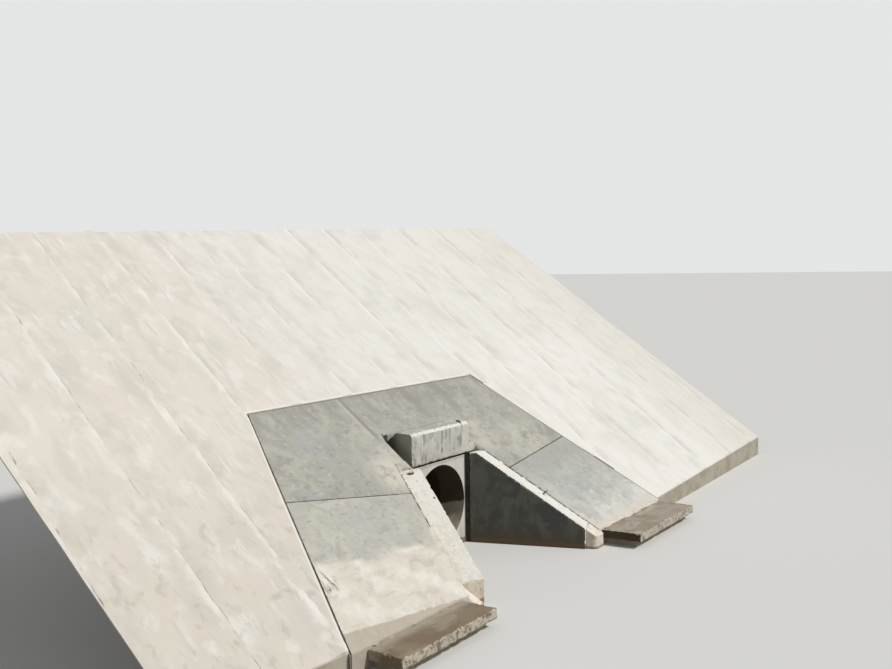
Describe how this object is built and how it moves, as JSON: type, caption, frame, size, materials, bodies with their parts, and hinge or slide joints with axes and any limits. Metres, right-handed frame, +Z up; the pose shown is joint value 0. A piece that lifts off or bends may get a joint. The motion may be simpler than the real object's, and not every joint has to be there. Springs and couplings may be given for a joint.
{
  "type": "culvert headwall with wing walls and slope lining",
  "caption": "Round-pipe culvert headwall with splayed wing walls, parapet beam, cast slope slabs and a wide cement-mat slope lining.",
  "frame": {"origin": "foot of the portal wall's front face, on its centre line, at ground level", "axes": "+Z up, +X to the right along the portal wall, +Y into the embankment along the pipe"},
  "size_m": [12.9039, 6.3432, 4.3561],
  "materials": {
    "portal_concrete": "precast concrete, rain stained",
    "beam_concrete": "cast concrete with dark run-off streaks",
    "wing_concrete": "cast concrete, weathered tops",
    "pipe_concrete": "spun concrete",
    "slab_concrete": "trowelled concrete, mottled",
    "toe_concrete": "dusty rough concrete",
    "haunch_concrete": "hand-placed concrete",
    "kerb_concrete": "rough buried concrete",
    "joint_filler": "dark joint filler",
    "joint_mortar": "struck mortar, damp stained",
    "bar_steel": "rusted bar",
    "mat_lining": "hardened cement mat, pale and dusty"
  },
  "bodies": {
    "root": {"portal_wall": "portal_concrete", "parapet_beam": "beam_concrete", "beam_bedding": "joint_mortar", "left_wing_joint": "joint_mortar", "right_wing_joint": "joint_mortar", "left_wing_fill": "joint_mortar", "straight_lifting_bar": "bar_steel", "bent_lifting_bar": "bar_steel", "pipe_ring_1": "pipe_concrete", "pipe_ring_2": "pipe_concrete", "pipe_ring_3": "pipe_concrete", "upper_slope_slab": "slab_concrete", "left_wing_wall": "wing_concrete", "left_lower_slab": "slab_concrete", "left_cross_joint": "joint_filler", "left_toe_slab": "toe_concrete", "left_toe_bed": "kerb_concrete", "left_wing_haunch": "haunch_concrete", "left_toe_kerb": "kerb_concrete", "left_edge_joint": "joint_filler", "right_wing_wall": "wing_concrete", "right_lower_slab": "slab_concrete", "right_cross_joint": "joint_filler", "right_toe_slab": "toe_concrete", "right_toe_bed": "kerb_concrete", "right_wing_haunch": "haunch_concrete", "right_toe_kerb": "kerb_concrete", "right_edge_joint": "joint_filler", "top_edge_joint": "joint_filler", "lining_mat_01": "mat_lining", "lining_mat_02": "mat_lining", "lining_mat_03": "mat_lining", "lining_mat_04": "mat_lining", "lining_mat_05": "mat_lining", "lining_mat_06": "mat_lining", "lining_mat_07": "mat_lining", "lining_mat_08": "mat_lining", "lining_mat_09": "mat_lining", "lining_mat_10": "mat_lining", "lining_mat_11": "mat_lining", "lining_mat_12": "mat_lining", "lining_mat_13": "mat_lining", "lining_mat_14": "mat_lining"}
  },
  "joints": []
}
